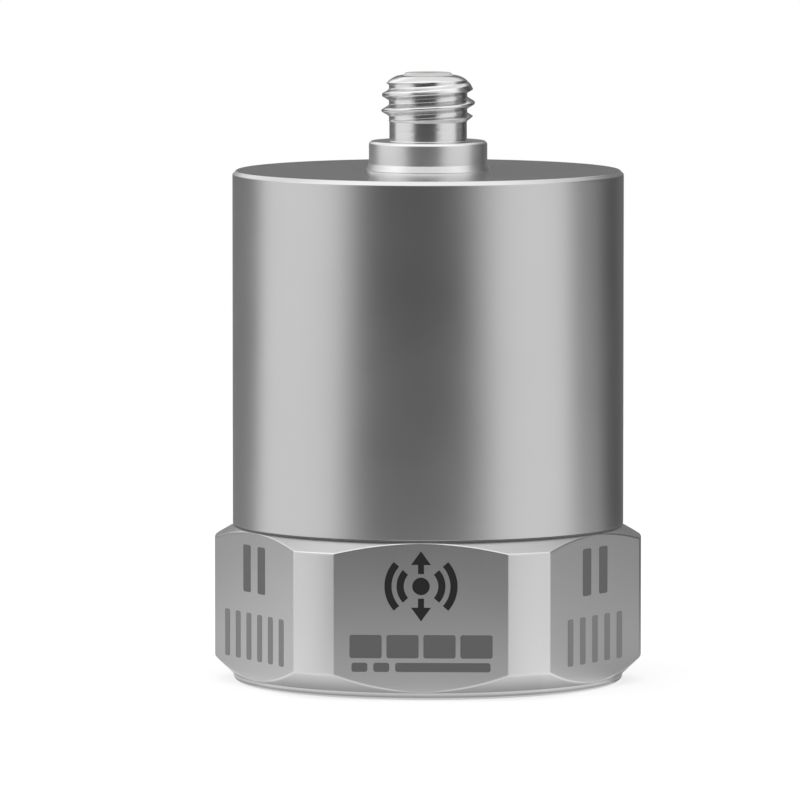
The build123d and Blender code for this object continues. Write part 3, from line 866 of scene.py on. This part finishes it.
# Stainless steel marked by a laser, in three strengths: oxide that reads as near black, as mid grey,
# and as a pale frosting. Its grain is that of the laser's spots, about a pixel of the picture.
markDark = mattFinish("laser_blackened_steel", "#111112", "#181819", 0.5, 0.05)
markGrey = mattFinish("laser_greyed_steel", "#5C5C5D", "#656566", 0.5, 0.05)
markPale = mattFinish("laser_frosted_steel", "#7A7A7B", "#828283", 0.5, 0.05)


def roundedBlock(across, up, width, height):
    # a rectangle's outline with round corners: a small circle whose four quarters are moved apart
    turn = np.radians(np.arange(marks["points"]) * 360 / marks["points"] + 180 / marks["points"])
    circle = np.stack([np.cos(turn), np.sin(turn)], axis=-1)
    apart = np.array([width, height]) / 2 - marks["corner"]
    return circle * marks["corner"] + np.sign(circle) * apart + (across, up)


def disc(up, radius):
    # a circle's outline: the cosine and the sine of even steps, times the radius
    turn = np.radians(np.arange(marks["points"]) * 360 / marks["points"])
    return np.stack([radius * np.cos(turn), up + radius * np.sin(turn)], axis=-1)


def wave(side, up, radius):
    # a stretch of a ring beside the dot: its outer arc one way and its inner arc back
    turn = np.radians(np.linspace(-marks["waveSpread"], marks["waveSpread"], marks["points"] // 2) + side)
    radii = radius + marks["waveWidth"] / 2 * np.repeat([1, -1], len(turn))
    turn = np.concatenate([turn, turn[::-1]])
    return np.stack([radii * np.cos(turn), up + radii * np.sin(turn)], axis=-1)


def arrow(sense, up):
    # an arrow away from the dot; sense is 1 for up and -1 for down
    shaft, head = marks["shaftHalf"], marks["arrowHalf"]
    root, neck, tip = marks["arrowRoot"], marks["arrowNeck"], marks["arrowTip"]
    halves = np.array([-shaft, shaft, shaft, head, 0, -head, -shaft])
    rises = np.array([root, root, neck, neck, tip, neck, neck])
    return np.stack([halves * sense, up + rises * sense], axis=-1)


def blockRow(count, spacing, up, size):
    return [roundedBlock(spacing * (i - (count - 1) / 2), up, *size) for i in range(count)]


def makeMarks(name, flat, outlines, material):
    # Each outline runs anticlockwise, as (across, up) on the flat, and becomes a thin closed plate:
    # a face just proud of the steel, one just below it, and a wall between them.
    turn = math.radians(marks[flat])
    outward = np.array([math.cos(turn), math.sin(turn), 0])
    across = np.array([-math.sin(turn), math.cos(turn), 0])
    points, faces = np.zeros((0, 3)), []
    for outline in outlines:
        flatPoints = outline[:, :1] * across + outline[:, 1:] * np.array([0, 0, 1])
        proud = np.arange(len(outline)) + len(points)
        below = proud + len(outline)
        points = np.concatenate([points, flatPoints + outward * (base["flat"] + marks["lift"]),
                                 flatPoints + outward * (base["flat"] - marks["sunk"])])
        walls = np.stack([below, np.roll(below, -1), np.roll(proud, -1), proud], axis=-1)
        faces += [proud.tolist(), below[::-1].tolist()] + walls.tolist()
    mesh = bpy.data.meshes.new(name)
    mesh.from_pydata(points * mm, [], faces)
    mesh.materials.append(material)
    piece = bpy.data.objects.new(name, mesh)
    bpy.context.scene.collection.objects.link(piece)
    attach(piece, "root")


symbolUp = marks["symbolHeight"]
symbol = [disc(symbolUp, marks["dot"]), arrow(1, symbolUp), arrow(-1, symbolUp)]
symbol += [wave(side, symbolUp, radius) for side in (0, 180) for radius in marks["waves"]]
makeMarks("motion_symbol", "front", symbol, markDark)
frontShapes = blockRow(4, marks["blockSpacing"], marks["blockHeight"], marks["block"])
frontShapes += [roundedBlock(middle, marks["barHeight"], width, marks["barThickness"])
                for middle, width in marks["bars"]]
makeMarks("front_blocks", "front", frontShapes, markGrey)
for side in ("left", "right"):
    upperBars = blockRow(2, marks["upperSpacing"], marks["upperHeight"], marks["upper"])
    makeMarks(side + "_blocks", side, upperBars, markGrey)
for side, count in (("left", 6), ("right", 5)):
    lowerBars = blockRow(count, marks["lowerSpacing"], marks["lowerHeight"], marks["lower"])
    makeMarks(side + "_row", side, lowerBars, markPale)
print("marks:  six groups on three flats")


# Inner pieces and the contact keep their CAD meshes and get their finishes

innerFinishes = {  # node name without its number: its finish
    # gold plated on a copper alloy: warm, with a clear shine
    "centre_contact": mattFinish("gold_plating", "#E0B868", "#D2A552", 0.22, 0.3, 1.0),
    # glass fused in a furnace: dark green, smooth and wet-looking
    "glass_seal": mattFinish("fused_sealing_glass", "#4E6A5C", "#3C5549", 0.08, 0.5),
    # hard steel, ground all over: grey, with fine lines round it
    "preload_ring": turnedSteel("ground_ring_steel", "#BDBDBD", 0.28, 0.3, 0.08, 0.0004),
    # glass-fibre board under solder mask: deep green, half glossy, a little uneven
    "circuit_board": mattFinish("green_solder_mask", "#1C5B35", "#237041", 0.35, 0.8),
    # moulded epoxy: black, with a fine dull grain
    "amplifier_chip": mattFinish("moulded_epoxy", "#1A1A1B", "#242425", 0.5, 0.05),
    # drawn copper wire, tinned: pale, with the copper's warmth under it
    "signal_lead": mattFinish("tinned_copper_wire", "#C9C2B8", "#B9A994", 0.3, 0.2, 1.0),
    "output_lead": mattFinish("tinned_copper_lead", "#C9C2B8", "#B9A994", 0.3, 0.2, 1.0),
    # pressed and fired piezo-ceramic: buff, dry and fine-grained
    "piezo_plate": mattFinish("fired_piezo_ceramic", "#B5A78C", "#A2937A", 0.55, 0.06),
    # sintered heavy metal, ground: dark grey and dense, with a dull shine
    "seismic_mass": mattFinish("ground_heavy_metal", "#8E8F92", "#7F8083", 0.35, 0.1, 1.0),
    # turned brass: yellow and bright
    "standoff": mattFinish("turned_brass", "#D8B25E", "#C79F4B", 0.28, 0.3, 1.0),
    # machined steel: light grey and fairly bright
    "board_screw": mattFinish("machined_screw_steel", "#BFBFBF", "#ABABAB", 0.3, 0.2, 1.0),
    # glazed ceramic: near black, with a soft shine
    "resistor": mattFinish("glazed_resistor", "#1B1B1F", "#26262B", 0.3, 0.1),
    # fired ceramic: light brown and dull
    "capacitor": mattFinish("fired_capacitor_ceramic", "#B08C60", "#9C7A50", 0.45, 0.08),
}
for node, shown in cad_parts.items():
    kind = node.rstrip("0123456789").rstrip("_")
    if kind in innerFinishes:
        for surface in shown.material_slots:
            surface.material = innerFinishes[kind]
print("inner:  finishes on", len(innerFinishes), "kinds of piece")
